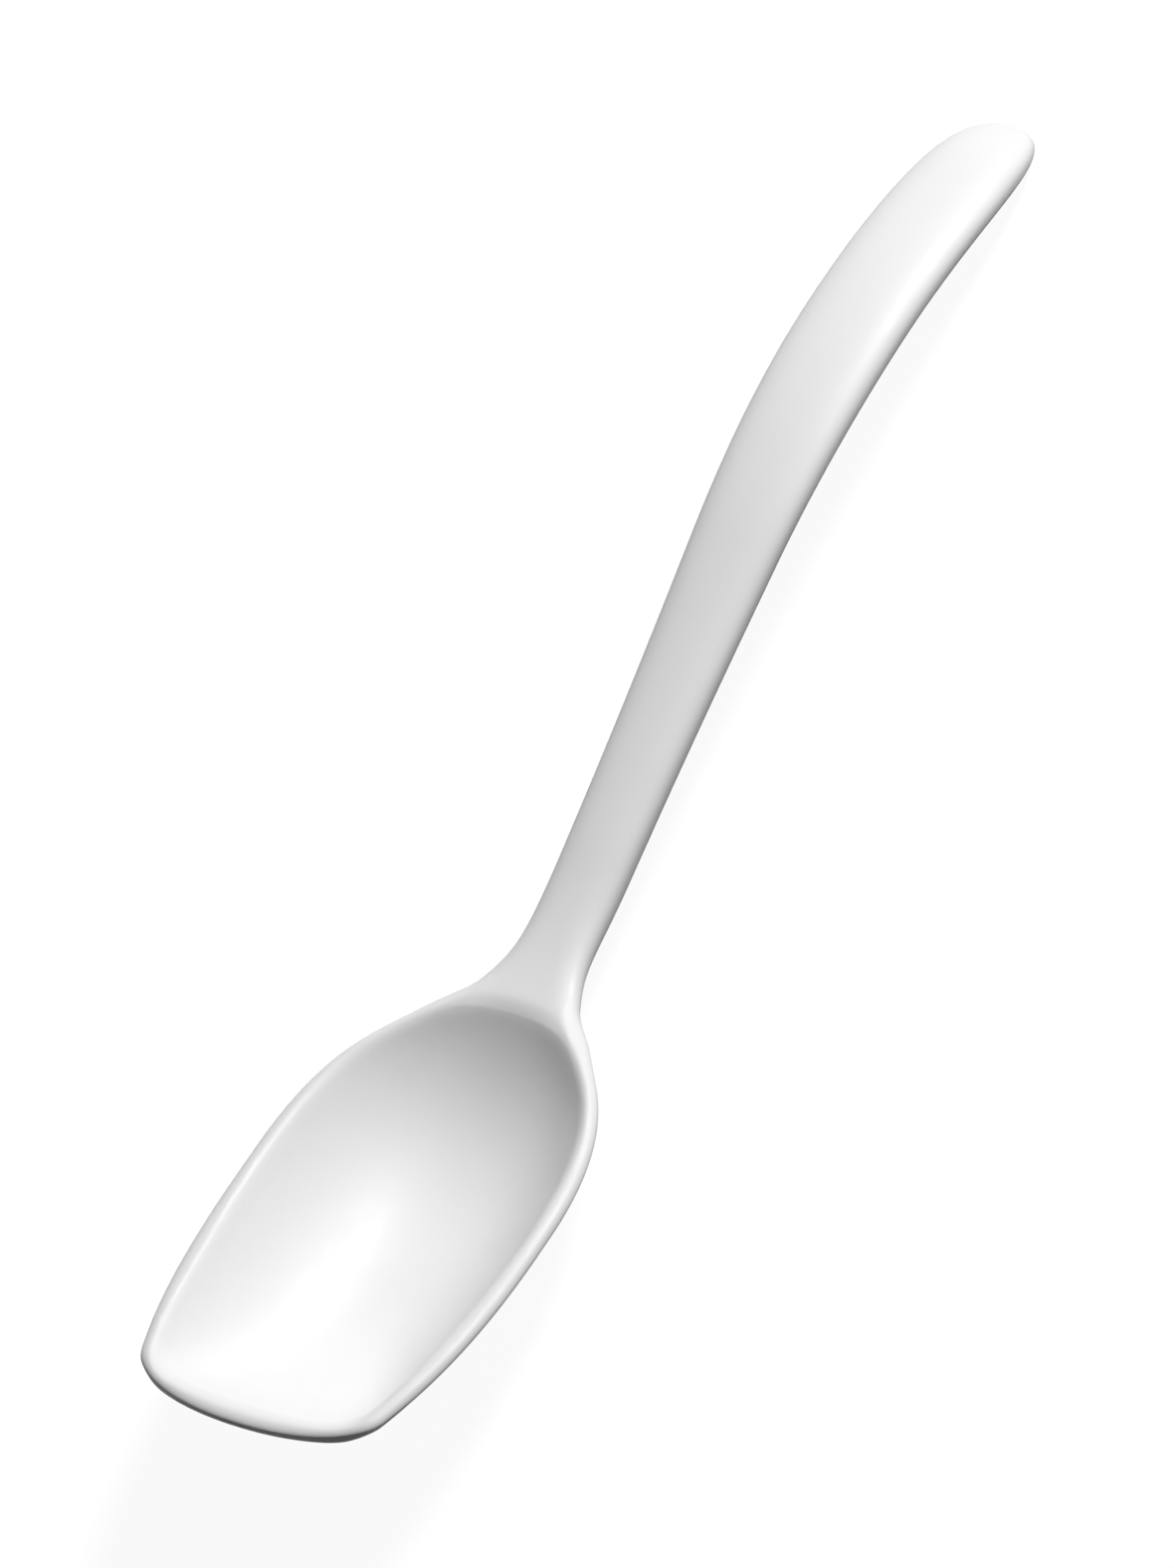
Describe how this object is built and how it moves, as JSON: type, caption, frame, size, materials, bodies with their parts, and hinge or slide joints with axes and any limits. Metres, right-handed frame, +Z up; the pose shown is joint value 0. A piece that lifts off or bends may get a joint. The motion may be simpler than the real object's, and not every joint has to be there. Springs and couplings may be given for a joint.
{
  "type": "spoon-shaped spatula",
  "caption": "Spoon-shaped spatula moulded in one, with a shallow oval bowl, a squared front lip, a rounded rim and an arched handle, for scooping, scraping and serving.",
  "frame": {"origin": "centre of the part's box, on the table that the part lies on", "axes": "+X along the part from the front lip to the end of the handle, +Y across it, +Z up out of the open side of the bowl"},
  "size_m": [0.2538, 0.0564, 0.0313],
  "materials": {
    "melamine": "glossy"
  },
  "bodies": {
    "root": {"bowl": "melamine", "front_lip": "melamine", "rim": "melamine", "neck": "melamine", "shank": "melamine", "grip": "melamine"}
  },
  "joints": []
}
